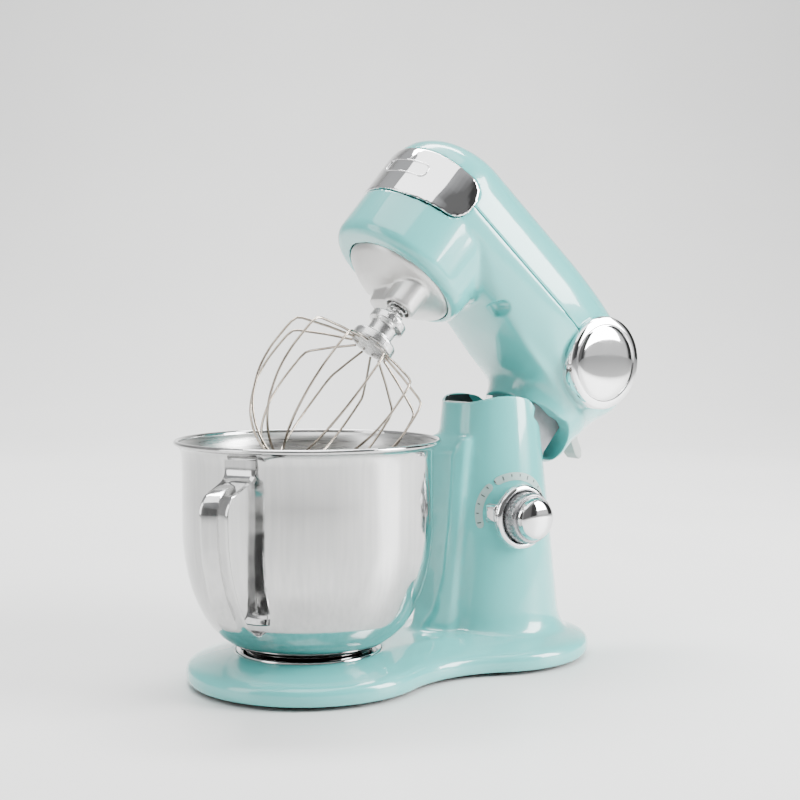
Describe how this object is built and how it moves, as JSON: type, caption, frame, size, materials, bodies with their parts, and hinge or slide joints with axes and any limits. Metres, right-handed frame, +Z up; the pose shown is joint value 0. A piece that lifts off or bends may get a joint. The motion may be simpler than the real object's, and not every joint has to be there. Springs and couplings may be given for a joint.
{
  "type": "stand mixer",
  "caption": "Tilt-head kitchen stand mixer with its head tilted up, a wire whisk on the planetary drive, a steel bowl with a strap handle and a side speed knob.",
  "frame": {"origin": "on the table under the middle of the whole object's footprint box", "axes": "-X is the front with the bowl, +X the rear, -Y the side with the speed knob, +Z up; millimetres in the source, metres here"},
  "size_m": [0.4897, 0.224, 0.461],
  "materials": {
    "aqua_paint": "glossy baked enamel, light aqua",
    "black_plastic": "fine grained",
    "rubber": "matt",
    "chrome": "mirror plated",
    "grey_plastic": "satin",
    "brushed_steel": "polished outside, brushed inside",
    "circuit_board": "solder resist",
    "cast_metal": "as cast, matt",
    "brass": "turned",
    "laminated_steel": "stacked sheet, matt",
    "copper": "enamelled copper wire",
    "silver_paint": "satin silver enamel"
  },
  "bodies": {
    "stand": {"stand_housing": "aqua_paint", "base_plate": "black_plastic", "foot_1": "rubber", "foot_2": "rubber", "foot_3": "rubber", "foot_4": "rubber", "foot_5": "rubber", "bowl_clamp_ring": "chrome", "latch_plate": "grey_plastic", "hinge_pin": "brushed_steel", "knob_bezel": "chrome", "speed_switch": "black_plastic", "control_board": "circuit_board", "cord_gland": "rubber"},
    "head": {"head_lower_housing": "aqua_paint", "head_top_cover": "aqua_paint", "nose_band": "chrome", "side_cap_left": "chrome", "side_cap_right": "chrome", "head_frame": "cast_metal", "hinge_bush_left": "brass", "hinge_bush_right": "brass", "ring_gear": "brushed_steel", "main_bearing": "brass", "motor_stator": "laminated_steel", "field_coil_outer": "copper", "field_coil_inner": "copper", "front_motor_bearing": "cast_metal", "rear_motor_bearing": "cast_metal", "brush_outer": "black_plastic", "brush_inner": "black_plastic", "lever_pin": "brushed_steel"},
    "rotor": {"motor_shaft": "brushed_steel", "armature_core": "laminated_steel", "armature_winding": "copper", "commutator": "copper", "cooling_fan": "black_plastic"},
    "lever": {"release_lever": "grey_plastic"},
    "planetary": {"planetary_dish": "silver_paint", "main_shaft": "brushed_steel", "worm_wheel": "brass", "axle_bearing": "brass"},
    "beater": {"beater_axle": "brushed_steel", "planet_gear": "brushed_steel", "cross_pin": "brushed_steel", "axle_spring": "brushed_steel", "whisk_hub": "brushed_steel", "whisk_wires": "brushed_steel"},
    "bowl": {"bowl_shell": "brushed_steel", "bowl_handle": "brushed_steel", "bowl_foot": "brushed_steel"},
    "knob": {"speed_knob": "grey_plastic", "knob_cap": "chrome"}
  },
  "joints": [
    {"name": "head_tilt", "type": "hinge", "parent": "stand", "child": "head", "pos_m": [0.07, 0, 0.164], "axis": [0, -1, 0], "range_deg": [0, 41]},
    {"name": "planetary_turn", "type": "hinge", "parent": "head", "child": "planetary", "pos_m": [-0.02012, 0, 0.33774], "axis": [0.6561, 0, 0.7547], "continuous": true},
    {"name": "beater_turn", "type": "hinge", "parent": "planetary", "child": "beater", "pos_m": [-0.02012, -0.03, 0.33774], "axis": [0.6561, 0, 0.7547], "continuous": true},
    {"name": "motor_turn", "type": "hinge", "parent": "head", "child": "rotor", "pos_m": [0.0619, 0.027, 0.34064], "axis": [0.7547, 0, -0.6561], "continuous": true},
    {"name": "release_lever_press", "type": "hinge", "parent": "head", "child": "lever", "pos_m": [0.17278, 0, 0.2045], "axis": [0, 1, 0], "range_deg": [0, 12], "stiffness_Nm_per_rad": 0.6, "springref_deg": -5.73},
    {"name": "bowl_twist", "type": "hinge", "parent": "stand", "child": "bowl", "pos_m": [-0.112, 0, 0.028], "axis": [0, 0, 1], "range_deg": [0, 30]},
    {"name": "speed_knob_turn", "type": "hinge", "parent": "stand", "child": "knob", "pos_m": [0.07, -0.06, 0.131], "axis": [0, -1, 0], "range_deg": [0, 270]}
  ],
  "couplings": [
    {"joint": "beater_turn", "follows": "planetary_turn", "ratio": -3},
    {"joint": "motor_turn", "follows": "planetary_turn", "ratio": 20}
  ]
}
